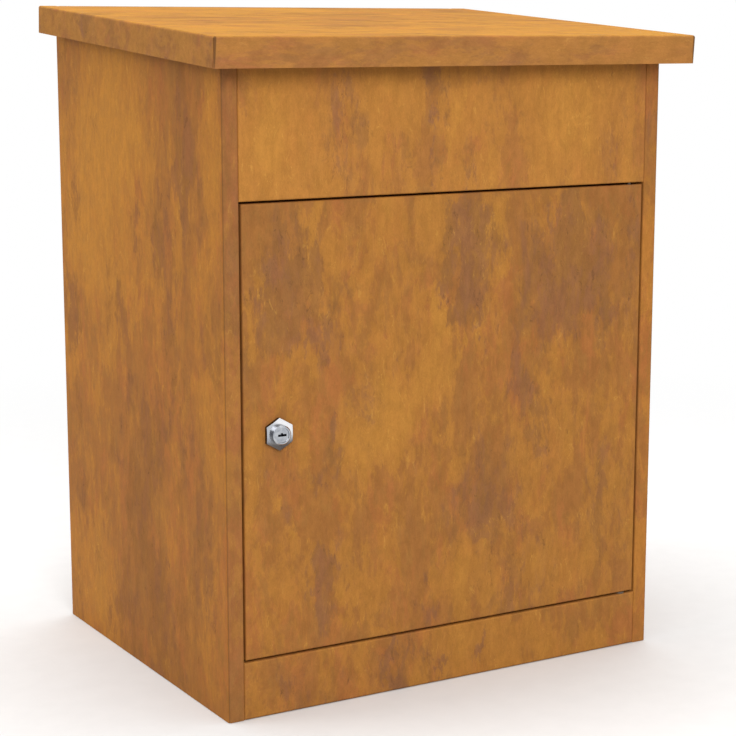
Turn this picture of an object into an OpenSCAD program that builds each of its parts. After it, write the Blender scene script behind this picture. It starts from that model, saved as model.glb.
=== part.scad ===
// Parcel mailbox of folded rust-finish sheet steel.
// It has a sloping lid with a drop tray under it, a flush front door on concealed pins and a cam lock.
// The frame: +Z up, front towards -Y, origin at the bottom centre of the whole box.

/* [Body] */
// Width of the body over its side panels
body_w = 450; // [360:1:560]
// Depth of the body from front face to rear face
body_d = 360; // [300:1:460]
// Overall height, at the rear edge of the lid
overall_h = 608; // [560:1:760]
// Thickness of the body, lid and door sheet
sheet_t = 1.2; // [0.8:0.1:1.5]
// Width of the narrow front face of each side panel
pillar_w = 15.2; // [12:0.1:20]
// Outer radius of the front vertical folds
fold_r = 2.5; // [2:0.1:4]
// Outer radius of the small folds on the panels and the door
edge_r = 1.6; // [1.55:0.05:1.9]
// Depth of the returns beside the door opening
jamb_d = 24; // [22:0.5:32]
// Width of the rebate that the closed door and the cam bear on
rebate_w = 14; // [12:0.5:18]
// Width of the flanges under the body
foot_flange = 20; // [15:1:30]
// Width of the flange round the top of the body
rim_flange = 12; // [10:0.5:14]

/* [Door] */
// Height of the fixed panel below the door
lower_panel_h = 51; // [40:1:80]
// Height of the door
door_h = 391; // [300:1:440]
// Gap all round the door
door_gap = 2; // [1.6:0.1:3]
// Depth of the door pan
door_d = 20; // [18:0.5:21]
// Width of the lips behind the door's upright edges
door_lip = 12; // [10:0.5:14]
// Distance of the hinge axis from the door's right edge
hinge_inset = 12; // [11:0.5:16]
// Distance of the hinge axis behind the door's face
hinge_depth = 5; // [5:0.1:6]
// Diameter of the door's hinge pins
door_pin_dia = 4; // [3:0.5:4]

/* [Lid] */
// Slope of the lid in degrees
lid_slope = 4.1; // [2:0.1:8]
// How far the lid stands out past each side
lid_side_overhang = 18; // [10:0.5:30]
// How far the lid stands out past the front
lid_front_overhang = 27; // [15:0.5:40]
// Depth of the lid's skirt, square to the lid
lid_skirt = 25.5; // [20:0.5:40]
// Outer radius of the lid's folds
lid_fold_r = 2; // [1.6:0.1:3]
// Width of the open seam at each corner of the skirt
lid_seam = 1.2; // [0.4:0.1:2]
// Space between the body's rim and the lid
rim_gap = 5; // [4:0.5:8]
// How far the lid opens, in degrees
lid_travel = 75; // [60:1:76]

/* [Lid hinge] */
// Outer diameter of the hinge barrel
barrel_dia = 6; // [5:0.5:8]
// Diameter of the hinge pin
lid_pin_dia = 3; // [2.5:0.5:3]
// Thickness of the hinge leaves
leaf_t = 1; // [0.8:0.1:1]
// Width of the hinge leaves from the axis
leaf_w = 24; // [20:1:30]
// Number of knuckles along the hinge
knuckles = 9; // [5:2:13]

/* [Drop tray] */
// Clearance between the front of the body and the swing of the tray's corners
tray_front_gap = 20.5; // [18:0.5:40]
// Distance of the hanging tray in front of the hinge axis
tray_offset = 12; // [10:0.5:16]
// Clearance between the tray and the body's rim on each side
tray_side_gap = 8; // [6:0.5:20]
// Height of the tray's cheeks at its lip
cheek_low = 20; // [14:1:30]
// Height of the tray's cheeks under the lid
cheek_high = 130; // [80:1:160]

/* [Lock] */
// Distance of the lock's axis from the body's left side
lock_inset = 49.5; // [45:0.5:60]
// Hexagon of the lock's head, across its flats
lock_hex = 24.5; // [22:0.5:27]
// Thickness of the hexagonal head
lock_head_t = 4; // [3:0.5:6]
// Diameter of the round nose in front of the hexagon
lock_nose_dia = 17; // [15:0.5:19]
// Length of the round nose
lock_nose_len = 4.5; // [2:0.5:6]
// Diameter of the threaded barrel
lock_barrel_dia = 16; // [15:0.5:18]
// Diameter of the turning plug
lock_plug_dia = 11; // [9:0.5:12]
// Clearance between the locked cam's tip and the jamb
cam_tip_gap = 5; // [2:0.5:8]

/* [Fixings] */
// Diameter of the holes for fixing to a wall or to the ground
fixing_dia = 8.5; // [6:0.5:12]
// Distance of the fixing holes from the body's sides
fixing_side_inset = 75; // [50:1:120]
// Distance of the floor holes from the body's front and rear
floor_hole_inset = 70; // [60:1:120]
// Height of the lower wall holes
wall_hole_low = 130; // [60:1:200]
// Distance of the upper wall holes below the overall height
wall_hole_drop = 108; // [60:1:200]

/* [Hidden] */
$fn = 64;

RUST = [0.66, 0.40, 0.17];
RUST_TOP = [0.74, 0.47, 0.20];
ZINC = [0.66, 0.67, 0.69];
CHROME = [0.80, 0.81, 0.83];
NYLON = [0.33, 0.26, 0.20];
PIN_STEEL = [0.36, 0.32, 0.29];
RUBBER = [0.10, 0.10, 0.10];

eps = 0.01;
run_gap = 0.05;
part_gap = 0.3;

// Body planes
side_x = body_w / 2;
front_y = (lid_front_overhang - body_d) / 2;
rear_y = front_y + body_d;
mid_y = (front_y + rear_y) / 2;
open_x = side_x - pillar_w;
wall_x = side_x - sheet_t;
jamb_y = front_y + jamb_d;

// Lid and hinge
rear_inset = 0.5;
barrel_r = barrel_dia / 2;
lid_front_y = front_y - lid_front_overhang;
hinge_y = rear_y - barrel_r;
hinge_z = lid_top_z(hinge_y) - barrel_r / cos(lid_slope);
lid_front_l = (lid_front_y - hinge_y + barrel_r * sin(lid_slope)) / cos(lid_slope);
lid_rear_l = barrel_r - rear_inset - (lid_skirt - barrel_r) * sin(lid_slope);
lid_half_w = side_x + lid_side_overhang;
hinge_len = 2 * (wall_x - sheet_t) - 1;
knuckle_pitch = hinge_len / knuckles;
knuckle_gap = 0.4;
leaf_clear = barrel_r + 0.4;
leaf_root = barrel_r - 1;
lid_under = barrel_r - sheet_t;
leaf_under = lid_under - leaf_t;
back_top_z = hinge_z - leaf_clear;

// Door and its opening
door_low_z = lower_panel_h + door_gap;
door_top_z = door_low_z + door_h;
open_top_z = door_top_z + door_gap;
door_half_w = open_x - door_gap;
axis_x = door_half_w - hinge_inset;
axis_y = front_y + hinge_depth;
bush_dia = door_pin_dia + 3;
bush_len = 6;
bush_flange_dia = bush_dia + 4;
bush_flange_t = 1.5;
pin_head_dia = door_pin_dia + 3;
pin_head_t = 2;

// Lock
lock_x = lock_inset - side_x;
lock_z = (door_low_z + door_top_z) / 2;
cam_t = 3;
cam_w = 16;
cam_front_y = jamb_y + 0.6;
plug_tail = 8;
nut_t = 4;
housing_rear_y = cam_front_y - part_gap;
nose_y = front_y - lock_head_t - lock_nose_len;
plug_head_dia = lock_plug_dia + 1.6;
plug_head_len = 3;
plug_recess = 0.6;
key_w = 2;
key_len = 8;
key_depth = 14;
cam_screw_dia = 4;
cam_screw_head = 13;
cam_screw_head_t = 2;
cam_screw_len = 8;
cam_screw_hex = 4;
cam_reach = open_x + lock_x - cam_tip_gap;

// Drop tray
tray_half_w = side_x - rim_flange - tray_side_gap;
tray_y = hinge_y - tray_offset;
tray_swing_r = body_d - barrel_r - tray_front_gap;
tray_len = sqrt(pow(tray_swing_r, 2) - pow(tray_offset + cheek_low, 2));
tray_low_z = hinge_z - tray_len;
tray_flange_len = leaf_w - tray_offset + 8;
cheek_flat = 40;
cheek_drop = 6;
tray_lip = 14;
corner_relief = 6;

// Stops that end the lid's travel
stop_w = 16;
stop_t = 2;
stop_h = 18;
stop_front_y = jamb_y + 0.5;
stop_rear_y = stop_front_y + stop_w;
stop_arm = side_x - sheet_t - tray_half_w + 6;
stop_gap = 0.6;

// Rubber buffers
lid_bumper_dia = 9;
door_bumper_dia = 9;
bumper_stem_dia = 4;
bumper_stem_len = 3;
lid_bumper_x = side_x - rim_flange / 2 - 0.3;
lid_bumper_insets = [60, body_d - 70];
door_bumper_inset = 60;

// Fixing holes
fixing_span_x = body_w - 2 * fixing_side_inset;
floor_span_y = body_d - 2 * floor_hole_inset;
wall_hole_high = overall_h - wall_hole_drop;

// Rivets
rivet_dia = 3.2;
rivet_head = 6;
rivet_head_t = 1;
rivet_count = 5;

function lid_top_z(y) = overall_h - (rear_y - y) * tan(lid_slope);
function rim_z(y) = lid_top_z(y) - (sheet_t + rim_gap) / cos(lid_slope);
function hinge_rivet_row() = row(rivet_count, hinge_len - 2 * leaf_w);
function hinge_rivet_z() = hinge_z - 2 * leaf_w / 3;
function tray_rivet_row() = row(rivet_count, 2 * tray_half_w - 60);
function tray_rivet_y() = 5 - leaf_w;
function row(count, span) = [for (i = [0:count - 1]) -span / 2 + span * i / (count - 1)];
function turned_y(dy, dz, a) = hinge_y + dy * cos(a) + dz * sin(a);
function turned_z(dy, dz, a) = hinge_z - dy * sin(a) + dz * cos(a);

// Height of the flat end of the cheek's edge above a given y, with the lid fully open
function open_cheek_z(y) =
    let (dy = -tray_offset - cheek_low,
         y0 = turned_y(dy, -tray_len, lid_travel),
         z0 = turned_z(dy, -tray_len, lid_travel))
    z0 + (y - y0) / tan(lid_travel);

// Helper shapes

// Puts its children in the lid's own frame: origin on the hinge axis, XY parallel to the lid
module in_lid_frame() {
    translate([0, hinge_y, hinge_z])
        rotate([lid_slope, 0, 0])
            children();
}

// The square corner outside a fold of radius r at the origin
module corner_waste(r) {
    difference() {
        translate([-eps, -eps])
            square(r + eps);
        translate([r, r])
            circle(r);
    }
}

// Rectangle from the origin with its lower corners rounded by r1 (left) and r2 (right)
module rounded_low(w, h, r1, r2) {
    difference() {
        square([w, h]);
        corner_waste(r1);
        translate([w, 0])
            mirror([1, 0])
                corner_waste(r2);
    }
}

// Extrudes a (y, z) outline along x between two x values
module along_x(x0, x1) {
    translate([x0, 0, 0])
        rotate([90, 0, 90])
            linear_extrude(x1 - x0)
                children();
}

// Cylinder along y between two y values, on the axis at x, z
module rod_y(x, z, y0, y1, dia) {
    translate([x, y0, z])
        rotate([-90, 0, 0])
            cylinder(h = y1 - y0, d = dia);
}

// Cylinder along x between two x values, in the lid's frame
module rod_x(x0, x1, dia) {
    translate([x0, 0, 0])
        rotate([0, 90, 0])
            cylinder(h = x1 - x0, d = dia);
}

// Solid block on the front plane with the edges of its front face rounded
module front_rounded_block(half_w, z0, z1, depth, r) {
    intersection() {
        translate([-half_w, front_y, z0])
            linear_extrude(z1 - z0)
                rounded_low(2 * half_w, depth, r, r);
        along_x(-half_w, half_w)
            translate([front_y, z1])
                rotate(-90)
                    rounded_low(z1 - z0, depth, r, r);
    }
}

// Open-backed pan: a front face with a return on each of its four sides
module pan(half_w, z0, z1, depth, r) {
    difference() {
        front_rounded_block(half_w, z0, z1, depth, r);
        translate([sheet_t - half_w, front_y + sheet_t, z0 + sheet_t])
            cube([2 * (half_w - sheet_t), depth, z1 - z0 - 2 * sheet_t]);
    }
}

// Body

// Plan outline of a side panel: wall, front pillar and the return beside the door
module side_outline() {
    difference() {
        rounded_low(pillar_w, body_d, fold_r, edge_r);
        translate([sheet_t, sheet_t])
            rounded_low(pillar_w - 2 * sheet_t, body_d, fold_r - sheet_t, edge_r - sheet_t);
        translate([sheet_t, jamb_d])
            square([pillar_w, body_d]);
    }
}

// Everything under the body's sloping rim
module under_rim() {
    along_x(-side_x, side_x)
        polygon([[front_y, 0], [rear_y, 0], [rear_y, rim_z(rear_y)], [front_y, rim_z(front_y)]]);
}

// Everything between the rim and a sheet's thickness under it, and above, up to the rear stop
module rim_band() {
    y0 = front_y + fold_r;
    y1 = rear_y - 2 * barrel_dia;
    polygon([[y0, rim_z(y0) - sheet_t], [y0, overall_h], [y1, overall_h], [y1, rim_z(y1) - sheet_t]]);
}

// Left side panel without its rebate
module side_shell() {
    difference() {
        intersection() {
            union() {
                translate([-side_x, front_y, 0])
                    linear_extrude(overall_h)
                        side_outline();
                translate([-side_x, jamb_y, 0])
                    cube([foot_flange, rear_y - sheet_t - jamb_y, sheet_t]);
                along_x(-side_x, rim_flange - side_x)
                    rim_band();
            }
            under_rim();
        }
        for (inset = lid_bumper_insets)
            bumper_hole(inset);
    }
}

module bumper_hole(inset) {
    at_lid_bumper(inset)
        translate([0, 0, -2 * bumper_stem_len])
            cylinder(h = 3 * bumper_stem_len, d = bumper_stem_dia);
}

// Origin on the rim's upper face at the left-hand buffer, square to the rim
module at_lid_bumper(inset) {
    y = front_y + inset;
    translate([-lid_bumper_x, y, rim_z(y)])
        rotate([lid_slope, 0, 0])
            children();
}

module left_side_panel() {
    color(RUST) {
        side_shell();
        translate([-open_x - sheet_t, jamb_y - sheet_t, lower_panel_h])
            cube([rebate_w + sheet_t, sheet_t, open_top_z - lower_panel_h]);
    }
}

module right_side_panel() {
    color(RUST)
        mirror([1, 0, 0])
            side_shell();
}

module back_panel() {
    flange = 15;
    flange_top_z = rim_z(rear_y - flange) - 2 * sheet_t;
    foot_x = side_x - foot_flange;
    color(RUST)
        difference() {
            union() {
                translate([-wall_x, rear_y - sheet_t, 0])
                    cube([2 * wall_x, sheet_t, back_top_z]);
                for (x = [-wall_x, wall_x - sheet_t])
                    translate([x, rear_y - flange, 2 * sheet_t])
                        cube([sheet_t, flange, flange_top_z - 2 * sheet_t]);
                translate([-foot_x, rear_y - foot_flange, 0])
                    cube([2 * foot_x, foot_flange, sheet_t]);
            }
            for (x = row(2, fixing_span_x), z = [wall_hole_low, wall_hole_high])
                rod_y(x, z, rear_y - 2 * sheet_t, rear_y + 1, fixing_dia);
            for (x = hinge_rivet_row())
                rod_y(x, hinge_rivet_z(), rear_y - 2 * sheet_t, rear_y + 1, rivet_dia);
        }
}

// Floor with an upstand along each side, resting on the foot flanges
module floor_panel() {
    y0 = jamb_y + part_gap;
    y1 = rear_y - sheet_t;
    edge = 12;
    color(RUST)
        difference() {
            union() {
                translate([-wall_x, y0, sheet_t])
                    cube([2 * wall_x, y1 - y0, sheet_t]);
                for (x = [-wall_x, wall_x - sheet_t])
                    translate([x, y0, sheet_t])
                        cube([sheet_t, y1 - y0 - foot_flange, edge]);
            }
            for (x = row(2, fixing_span_x), y = row(2, floor_span_y))
                translate([x, mid_y + y, 0])
                    cylinder(h = 3 * sheet_t, d = fixing_dia);
        }
}

// Fixed panel above the door; its lower return is the head of the door opening
module upper_front_panel() {
    z0 = open_top_z;
    color(RUST)
        difference() {
            front_rounded_block(open_x, z0, overall_h, door_d, edge_r);
            along_x(-side_x, side_x)
                polygon([[front_y - 1, rim_z(front_y - 1)], [rear_y, rim_z(rear_y)],
                         [rear_y, overall_h + 1], [front_y - 1, overall_h + 1]]);
            along_x(sheet_t - open_x, open_x - sheet_t)
                polygon([[front_y + sheet_t, z0 + sheet_t],
                         [jamb_y, z0 + sheet_t],
                         [jamb_y, rim_z(jamb_y) - sheet_t],
                         [front_y + sheet_t, rim_z(front_y + sheet_t) - sheet_t]]);
            translate([axis_x, axis_y, z0 - 1])
                cylinder(h = sheet_t + 2, d = door_pin_dia + 2 * run_gap);
        }
}

// Fixed panel below the door; its upper return is the sill
module lower_front_panel() {
    shelf = jamb_d + foot_flange;
    color(RUST)
        difference() {
            union() {
                pan(open_x, 0, lower_panel_h, jamb_d, edge_r);
                translate([foot_flange - side_x, front_y + sheet_t, 0])
                    cube([2 * (side_x - foot_flange), shelf - sheet_t, sheet_t]);
            }
            translate([axis_x, axis_y, lower_panel_h - sheet_t - 1])
                cylinder(h = sheet_t + 2, d = door_pin_dia + 2 * run_gap);
        }
}

// Angle bracket on the left wall that the tray's cheek meets when the lid is fully open
module tray_stop() {
    under = open_cheek_z(stop_rear_y) + stop_gap;
    translate([-wall_x, stop_front_y, under + stop_t - stop_h])
        cube([stop_t, stop_w, stop_h]);
    translate([-wall_x, stop_front_y, under])
        cube([stop_arm, stop_w, stop_t]);
}

module left_tray_stop() {
    color(ZINC)
        tray_stop();
}

module right_tray_stop() {
    color(ZINC)
        mirror([1, 0, 0])
            tray_stop();
}

// Four rubber buffers that the closed lid rests on
module lid_bumpers() {
    color(RUBBER)
        for (side = [0, 1], inset = lid_bumper_insets)
            mirror([side, 0, 0])
                at_lid_bumper(inset) {
                    cylinder(h = rim_gap - part_gap, d = lid_bumper_dia);
                    translate([0, 0, -bumper_stem_len])
                        cylinder(h = bumper_stem_len + eps, d = bumper_stem_dia - 2 * run_gap);
                }
}

// Two rubber buffers on the rebate that the closed door rests on
module door_bumpers() {
    pad_front = front_y + door_d + part_gap;
    pad_rear = jamb_y - sheet_t;
    pad_x = -door_half_w + door_lip / 2;
    color(RUBBER)
        for (z = [door_low_z + door_bumper_inset, door_top_z - door_bumper_inset])
            rod_y(pad_x, z, pad_front, pad_rear, door_bumper_dia);
}

// Door hinge

// Fixed pin with a head behind the flange it sits in; up is 1 for the lower pin
module door_pin(flange_z, up) {
    reach = sheet_t + door_gap + bush_len + 1;
    translate([axis_x, axis_y, flange_z])
        facing(up) {
            translate([0, 0, -sheet_t])
                cylinder(h = reach, d = door_pin_dia);
            translate([0, 0, -sheet_t - pin_head_t])
                cylinder(h = pin_head_t, d = pin_head_dia);
        }
}

// Keeps its children as they are for 1, and turns them upside down for -1
module facing(up) {
    mirror([0, 0, up > 0 ? 0 : 1])
        children();
}

module door_pin_top() {
    color(PIN_STEEL)
        door_pin(open_top_z, -1);
}

module door_pin_bottom() {
    color(PIN_STEEL)
        door_pin(lower_panel_h, 1);
}

// Nylon washer on the sill that carries the door
module door_washer() {
    color(NYLON)
        translate([axis_x, axis_y, lower_panel_h])
            difference() {
                cylinder(h = door_gap - part_gap, d = bush_dia + 2);
                translate([0, 0, -1])
                    cylinder(h = door_gap + 2, d = door_pin_dia + 2 * run_gap);
            }
}

// Nylon bush pressed in the door's return, with a flange cut flat towards the door's face
module door_bush(edge_z, up) {
    translate([axis_x, axis_y, edge_z])
        facing(up)
            difference() {
                union() {
                    cylinder(h = bush_len, d = bush_dia);
                    translate([0, 0, sheet_t])
                        intersection() {
                            cylinder(h = bush_flange_t, d = bush_flange_dia);
                            translate([-bush_flange_dia, sheet_t + run_gap - hinge_depth, 0])
                                cube([2 * bush_flange_dia, bush_flange_dia + hinge_depth, bush_len]);
                        }
                }
                translate([0, 0, -1])
                    cylinder(h = bush_len + 2, d = door_pin_dia + 2 * run_gap);
            }
}

module door_bush_top() {
    color(NYLON)
        door_bush(door_top_z, -1);
}

module door_bush_bottom() {
    color(NYLON)
        door_bush(door_low_z, 1);
}

// Door

module door_panel() {
    lip_y = front_y + door_d - sheet_t;
    color(RUST)
        difference() {
            union() {
                pan(door_half_w, door_low_z, door_top_z, door_d, edge_r);
                for (x = [-door_half_w, door_half_w - door_lip])
                    translate([x, lip_y, door_low_z])
                        cube([door_lip, sheet_t, door_h]);
            }
            translate([axis_x, axis_y, door_low_z - 1])
                cylinder(h = door_h + 2, d = bush_dia + 2 * run_gap);
            rod_y(lock_x, lock_z, front_y - 1, front_y + sheet_t + 1, lock_barrel_dia + 4 * run_gap);
        }
}

// Lock

// Hexagonal prism along y with corners at its top and bottom
module hex_y(y0, y1, flats) {
    translate([lock_x, y0, lock_z])
        rotate([-90, 90, 0])
            cylinder(h = y1 - y0, d = flats / cos(30), $fn = 6);
}

// Cone frustum along y, used for turned chamfers
module cone_y(y0, y1, d0, d1) {
    translate([lock_x, y0, lock_z])
        rotate([-90, 0, 0])
            cylinder(h = y1 - y0, d1 = d0, d2 = d1);
}

module lock_rod(y0, y1, dia) {
    rod_y(lock_x, lock_z, y0, y1, dia);
}

module lock_housing() {
    head_y = front_y - lock_head_t;
    corner = lock_hex / cos(30);
    chamfer = 1;
    color(CHROME)
        difference() {
            union() {
                intersection() {
                    hex_y(head_y, front_y, lock_hex);
                    union() {
                        cone_y(head_y, head_y + chamfer, lock_hex - 2 * chamfer, corner);
                        lock_rod(head_y + chamfer, front_y, corner);
                    }
                }
                cone_y(nose_y, nose_y + chamfer, lock_nose_dia - 2 * chamfer, lock_nose_dia);
                lock_rod(nose_y + chamfer, head_y + eps, lock_nose_dia);
                lock_rod(front_y - eps, housing_rear_y, lock_barrel_dia);
            }
            lock_rod(nose_y - 1, nose_y + plug_head_len, plug_head_dia + 2 * run_gap);
            lock_rod(nose_y, housing_rear_y + 1, lock_plug_dia + 2 * run_gap);
        }
}

module lock_nut() {
    y0 = front_y + sheet_t;
    color(ZINC)
        difference() {
            hex_y(y0, y0 + nut_t, lock_hex);
            lock_rod(y0 - 1, y0 + nut_t + 1, lock_barrel_dia + 2 * run_gap);
        }
}

// Turning plug: head, body, square tail for the cam, and keyway
module lock_plug() {
    face_y = nose_y + plug_recess;
    tail_y = cam_front_y + cam_t;
    color(CHROME)
        difference() {
            union() {
                lock_rod(face_y, nose_y + plug_head_len - run_gap, plug_head_dia);
                lock_rod(face_y, cam_front_y, lock_plug_dia);
                translate([lock_x - plug_tail / 2, cam_front_y - eps, lock_z - plug_tail / 2])
                    cube([plug_tail, cam_t + eps, plug_tail]);
            }
            translate([lock_x - key_len / 2, face_y - 1, lock_z - key_w / 2])
                cube([key_len, key_depth + 1, key_w]);
            translate([lock_x - key_len / 6, face_y - 1, lock_z - key_w / 2])
                cube([key_w, key_depth + 1, 1.5 * key_w]);
            lock_rod(tail_y - cam_screw_len, tail_y + 1, cam_screw_dia + 2 * run_gap);
        }
}

// Flat cam that hangs down when unlocked and turns behind the rebate when locked
module lock_cam() {
    color(ZINC)
        difference() {
            union() {
                lock_rod(cam_front_y, cam_front_y + cam_t, cam_w);
                translate([lock_x - cam_w / 2, cam_front_y, lock_z - cam_reach])
                    cube([cam_w, cam_t, cam_reach]);
            }
            translate([lock_x - plug_tail / 2 - run_gap, cam_front_y - 1, lock_z - plug_tail / 2 - run_gap])
                cube([plug_tail + 2 * run_gap, cam_t + 2, plug_tail + 2 * run_gap]);
        }
}

// Screw with a washer head and a hexagonal socket that holds the cam on the plug
module cam_screw() {
    y0 = cam_front_y + cam_t;
    color(ZINC)
        difference() {
            union() {
                lock_rod(y0 - cam_screw_len + 1, y0 + eps, cam_screw_dia);
                lock_rod(y0, y0 + cam_screw_head_t, cam_screw_head);
            }
            hex_y(y0 + cam_screw_head_t / 2, y0 + cam_screw_head_t + 1, cam_screw_hex);
        }
}

// Lid hinge

// Calls its children with $x0 and $x1 set to the ends of every second knuckle, from the given index
module each_knuckle(first) {
    for (i = [first:2:knuckles - 1]) {
        $x0 = -hinge_len / 2 + i * knuckle_pitch + knuckle_gap / 2;
        $x1 = -hinge_len / 2 + (i + 1) * knuckle_pitch - knuckle_gap / 2;
        children();
    }
}

module hinge_fixed_leaf() {
    leaf_y = rear_y - sheet_t - leaf_t;
    low_z = hinge_z - leaf_w;
    color(ZINC)
        difference() {
            union() {
                translate([-hinge_len / 2, leaf_y, low_z])
                    cube([hinge_len, leaf_t, leaf_w - leaf_clear]);
                each_knuckle(0)
                    union() {
                        translate([$x0, leaf_y, hinge_z - leaf_clear - eps])
                            cube([$x1 - $x0, leaf_t, leaf_clear - leaf_root]);
                        translate([0, hinge_y, hinge_z])
                            rod_x($x0, $x1, barrel_dia);
                    }
            }
            translate([0, hinge_y, hinge_z])
                rod_x(-hinge_len / 2 - 1, hinge_len / 2 + 1, lid_pin_dia + 2 * run_gap);
            for (x = hinge_rivet_row())
                rod_y(x, hinge_rivet_z(), leaf_y - 1, rear_y, rivet_dia);
        }
}

module hinge_moving_leaf() {
    color(ZINC)
        in_lid_frame()
            difference() {
                union() {
                    translate([-hinge_len / 2, -leaf_w, leaf_under])
                        cube([hinge_len, leaf_w - leaf_clear, leaf_t]);
                    each_knuckle(1)
                        union() {
                            translate([$x0, -leaf_clear - eps, leaf_under])
                                cube([$x1 - $x0, leaf_clear - leaf_root, leaf_t]);
                            rod_x($x0, $x1, barrel_dia);
                        }
                }
                rod_x(-hinge_len / 2 - 1, hinge_len / 2 + 1, lid_pin_dia + 2 * run_gap);
                for (x = tray_rivet_row())
                    translate([x, tray_rivet_y(), 0])
                        cylinder(h = barrel_dia, d = rivet_dia);
            }
}

module lid_hinge_pin() {
    color(ZINC)
        translate([0, hinge_y, hinge_z])
            rod_x(-hinge_len / 2, hinge_len / 2, lid_pin_dia);
}

// Flush rivets through the back panel, headed on the inside of the fixed leaf
module hinge_rivets() {
    leaf_y = rear_y - sheet_t - leaf_t;
    z = hinge_rivet_z();
    color(ZINC)
        for (x = hinge_rivet_row()) {
            rod_y(x, z, leaf_y, rear_y, rivet_dia);
            rod_y(x, z, leaf_y - rivet_head_t, leaf_y, rivet_head);
        }
}

// Lid

// Block in the lid's frame with its top edges rounded along the front and both sides
module lid_block(half_w, front, rear, low, top, r) {
    intersection() {
        translate([half_w, rear, top])
            rotate([90, 180, 0])
                linear_extrude(rear - front)
                    rounded_low(2 * half_w, top - low, r, r);
        along_x(-half_w, half_w)
            translate([front, top])
                mirror([0, 1])
                    rounded_low(rear - front, top - low, r, 0.1);
    }
}

// Folded lid with a skirt at its front and sides; the hinge barrel sits in a notch at its rear edge
module lid_cover() {
    low = barrel_r - lid_skirt;
    color(RUST_TOP)
        in_lid_frame()
            difference() {
                lid_block(lid_half_w, lid_front_l, lid_rear_l, low, barrel_r, lid_fold_r);
                translate([0, sheet_t, -sheet_t])
                    lid_block(lid_half_w - sheet_t, lid_front_l, lid_rear_l + 5, low - 5, barrel_r,
                              lid_fold_r - sheet_t);
                translate([-side_x - 1, -leaf_clear, low - 1])
                    cube([body_w + 2, 2 * barrel_dia, lid_skirt + 2]);
                for (x = [-lid_half_w - 1, lid_half_w - sheet_t])
                    translate([x, lid_front_l + sheet_t, low - 1])
                        cube([sheet_t + 1, lid_seam, lid_skirt - lid_fold_r + 1]);
            }
}

// Drop tray

// Outline of a cheek in (y, z): tall under the lid, low and flat near the lip
module cheek_outline() {
    top = rim_z(tray_y) - cheek_drop;
    polygon([[tray_y, tray_low_z],
             [tray_y, top],
             [tray_y - cheek_high, top - cheek_high * tan(lid_slope)],
             [tray_y - cheek_high, top - cheek_high * tan(lid_slope) - cheek_drop],
             [tray_y - cheek_low, tray_low_z + cheek_flat],
             [tray_y - cheek_low, tray_low_z]]);
}

// Folded tray: flange under the hinge leaf, hanging plate, two cheeks and a lip
module drop_tray() {
    flange_top = leaf_under;
    flange_end = tray_offset + sheet_t / 2;
    flange_half_w = tray_half_w - corner_relief;
    color(RUST)
        difference() {
            union() {
                in_lid_frame()
                    translate([-flange_half_w, -flange_end - tray_flange_len, flange_top - sheet_t])
                        cube([2 * flange_half_w, tray_flange_len, 2 * sheet_t]);
                translate([-tray_half_w, tray_y - sheet_t, tray_low_z])
                    cube([2 * tray_half_w, sheet_t, tray_len + barrel_dia]);
                for (x = [-tray_half_w, tray_half_w - sheet_t])
                    along_x(x, x + sheet_t)
                        cheek_outline();
                translate([-tray_half_w, tray_y - tray_lip, tray_low_z])
                    cube([2 * tray_half_w, tray_lip, sheet_t]);
            }
            in_lid_frame()
                translate([-side_x, -2 * leaf_w, flange_top])
                    cube([body_w, 2 * leaf_w, leaf_w]);
            in_lid_frame()
                for (x = tray_rivet_row())
                    translate([x, tray_rivet_y(), -barrel_dia])
                        cylinder(h = 2 * barrel_dia, d = rivet_dia);
        }
}

// Rivets that hold the tray to the moving leaf
module tray_rivets() {
    under = leaf_under - sheet_t;
    color(ZINC)
        in_lid_frame()
            for (x = tray_rivet_row())
                translate([x, tray_rivet_y(), 0]) {
                    translate([0, 0, under])
                        cylinder(h = lid_under - under, d = rivet_dia);
                    translate([0, 0, under - rivet_head_t])
                        cylinder(h = rivet_head_t, d = rivet_head);
                }
}

left_side_panel();
right_side_panel();
back_panel();
floor_panel();
upper_front_panel();
lower_front_panel();
left_tray_stop();
right_tray_stop();
lid_bumpers();
door_bumpers();
door_pin_top();
door_pin_bottom();
door_washer();
hinge_fixed_leaf();
lid_hinge_pin();
hinge_rivets();
door_panel();
door_bush_top();
door_bush_bottom();
lock_housing();
lock_nut();
lock_plug();
lock_cam();
cam_screw();
lid_cover();
hinge_moving_leaf();
drop_tray();
tray_rivets();
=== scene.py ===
import math

import bmesh
import bpy
from mathutils import Euler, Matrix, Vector


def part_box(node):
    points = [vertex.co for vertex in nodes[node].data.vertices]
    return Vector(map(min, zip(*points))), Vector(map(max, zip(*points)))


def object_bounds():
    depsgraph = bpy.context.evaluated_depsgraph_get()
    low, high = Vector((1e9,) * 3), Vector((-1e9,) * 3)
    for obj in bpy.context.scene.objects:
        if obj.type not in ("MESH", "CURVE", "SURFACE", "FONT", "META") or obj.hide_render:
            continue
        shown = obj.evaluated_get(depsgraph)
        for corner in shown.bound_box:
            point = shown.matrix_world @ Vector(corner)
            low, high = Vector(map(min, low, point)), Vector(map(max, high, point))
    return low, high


# A parcel mailbox of folded sheet steel with a blotchy rust finish, standing on a pale floor.
# Metres, +Z up, front towards -Y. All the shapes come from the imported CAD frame; this script adds their
# materials, the camera, the light and the floor.

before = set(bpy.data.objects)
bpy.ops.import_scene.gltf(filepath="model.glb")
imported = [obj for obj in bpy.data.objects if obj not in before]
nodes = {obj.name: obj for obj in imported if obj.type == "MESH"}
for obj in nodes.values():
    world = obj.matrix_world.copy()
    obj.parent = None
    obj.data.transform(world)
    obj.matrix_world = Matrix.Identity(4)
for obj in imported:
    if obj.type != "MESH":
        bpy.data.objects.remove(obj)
cad_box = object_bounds()

WHITE = (1.0, 1.0, 1.0)
BLACK = (0.0, 0.0, 0.0)

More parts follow.
